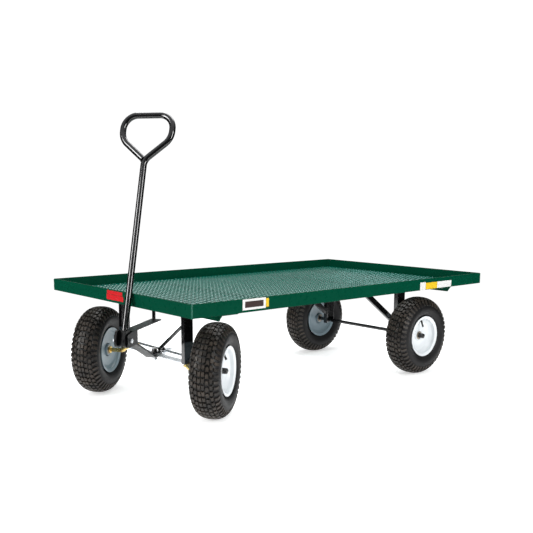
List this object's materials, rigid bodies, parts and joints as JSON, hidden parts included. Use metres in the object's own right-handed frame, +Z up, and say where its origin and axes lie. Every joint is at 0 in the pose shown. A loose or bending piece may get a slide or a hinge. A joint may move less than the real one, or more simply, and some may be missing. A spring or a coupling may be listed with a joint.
{
  "type": "steerable deck cart",
  "caption": "Four-wheeled steel deck cart with a mesh floor, angle-iron rails, kingpin steering through a yoke and tie rod, and a folding pull handle with a closed loop.",
  "frame": {"origin": "on the ground, under the middle of the whole cart's bounding box", "axes": "+X forward, to the handle's end; +Y to the cart's left; +Z up"},
  "size_m": [1.614, 0.914, 1.0335],
  "materials": {
    "green_paint": "gloss powder coat",
    "mesh_paint": "gloss powder coat",
    "black_paint": "gloss",
    "zinc": "bright zinc plate",
    "yellow_zinc": "yellow zinc plate",
    "tyre": "matte",
    "rim_paint": "satin",
    "bearing_steel": "ground",
    "rubber": "matte",
    "black_plastic": "satin"
  },
  "bodies": {
    "chassis": {"axle_strap": "zinc", "centre_brace": "black_paint", "front_cross_member": "green_paint", "front_left_leg": "black_paint", "front_rail": "green_paint", "front_right_leg": "black_paint", "front_support_bar": "green_paint", "left_rail": "green_paint", "mesh_floor": "mesh_paint", "pivot_bolt": "zinc", "pivot_nut": "black_paint", "rear_axle": "black_paint", "rear_cross_member": "green_paint", "rear_left_brace": "black_paint", "rear_left_hub_cap": "black_plastic", "rear_left_leg": "black_paint", "rear_rail": "green_paint", "rear_right_brace": "black_paint", "rear_right_hub_cap": "black_plastic", "rear_right_leg": "black_paint", "rear_support_bar": "green_paint", "right_rail": "green_paint", "steering_post": "black_paint"},
    "yoke_body": {"handle_bolt": "zinc", "handle_nut": "zinc", "lever_bolt": "zinc", "lever_nut": "black_paint", "steering_lever": "zinc", "yoke": "black_paint"},
    "tie_rod_body": {"tie_rod": "zinc"},
    "knuckle_left": {"front_left_hub_cap": "black_plastic", "front_left_stub_axle": "yellow_zinc", "left_arm_bolt": "zinc"},
    "knuckle_right": {"front_right_hub_cap": "black_plastic", "front_right_stub_axle": "yellow_zinc", "right_arm_bolt": "zinc"},
    "handle_body": {"handle": "black_paint", "handle_fork": "black_paint"},
    "wheel_front_left": {"front_left_inner_bearing": "bearing_steel", "front_left_outer_bearing": "bearing_steel", "front_left_rim": "rim_paint", "front_left_tyre": "tyre", "front_left_valve_stem": "rubber"},
    "wheel_front_right": {"front_right_inner_bearing": "bearing_steel", "front_right_outer_bearing": "bearing_steel", "front_right_rim": "rim_paint", "front_right_tyre": "tyre", "front_right_valve_stem": "rubber"},
    "wheel_rear_left": {"rear_left_inner_bearing": "bearing_steel", "rear_left_outer_bearing": "bearing_steel", "rear_left_rim": "rim_paint", "rear_left_tyre": "tyre", "rear_left_valve_stem": "rubber"},
    "wheel_rear_right": {"rear_right_inner_bearing": "bearing_steel", "rear_right_outer_bearing": "bearing_steel", "rear_right_rim": "rim_paint", "rear_right_tyre": "tyre", "rear_right_valve_stem": "rubber"}
  },
  "joints": [
    {"name": "steer", "type": "hinge", "parent": "chassis", "child": "yoke_body", "pos_m": [0.55796, 0, 0.2], "axis": [0, 0, 1], "range_deg": [-70, 0]},
    {"name": "left_knuckle", "type": "hinge", "parent": "chassis", "child": "knuckle_left", "pos_m": [0.55796, 0.199, 0.2], "axis": [0, 0, 1], "range_deg": [-70, 0]},
    {"name": "right_knuckle", "type": "hinge", "parent": "chassis", "child": "knuckle_right", "pos_m": [0.55796, -0.199, 0.2], "axis": [0, 0, 1], "range_deg": [-70, 0]},
    {"name": "tie_rod_pivot", "type": "hinge", "parent": "yoke_body", "child": "tie_rod_body", "pos_m": [0.48833, -0.04875, 0.18], "axis": [0, 0, 1], "range_deg": [0, 70]},
    {"name": "handle_pitch", "type": "hinge", "parent": "yoke_body", "child": "handle_body", "pos_m": [0.76971, 0.14827, 0.281], "axis": [-0.5736, 0.8192, 0], "range_deg": [0, 115]},
    {"name": "front_left_spin", "type": "hinge", "parent": "knuckle_left", "child": "wheel_front_left", "pos_m": [0.49716, 0.28583, 0.165], "axis": [-0.5736, 0.8192, 0], "continuous": true},
    {"name": "front_right_spin", "type": "hinge", "parent": "knuckle_right", "child": "wheel_front_right", "pos_m": [0.61876, -0.28583, 0.165], "axis": [-0.5736, 0.8192, 0], "continuous": true},
    {"name": "rear_left_spin", "type": "hinge", "parent": "chassis", "child": "wheel_rear_left", "pos_m": [-0.56604, 0.309, 0.165], "axis": [0, 1, 0], "continuous": true},
    {"name": "rear_right_spin", "type": "hinge", "parent": "chassis", "child": "wheel_rear_right", "pos_m": [-0.56604, -0.309, 0.165], "axis": [0, 1, 0], "continuous": true}
  ],
  "couplings": [
    {"joint": "left_knuckle", "follows": "steer", "ratio": 1},
    {"joint": "right_knuckle", "follows": "steer", "ratio": 1},
    {"joint": "tie_rod_pivot", "follows": "steer", "ratio": -1}
  ]
}
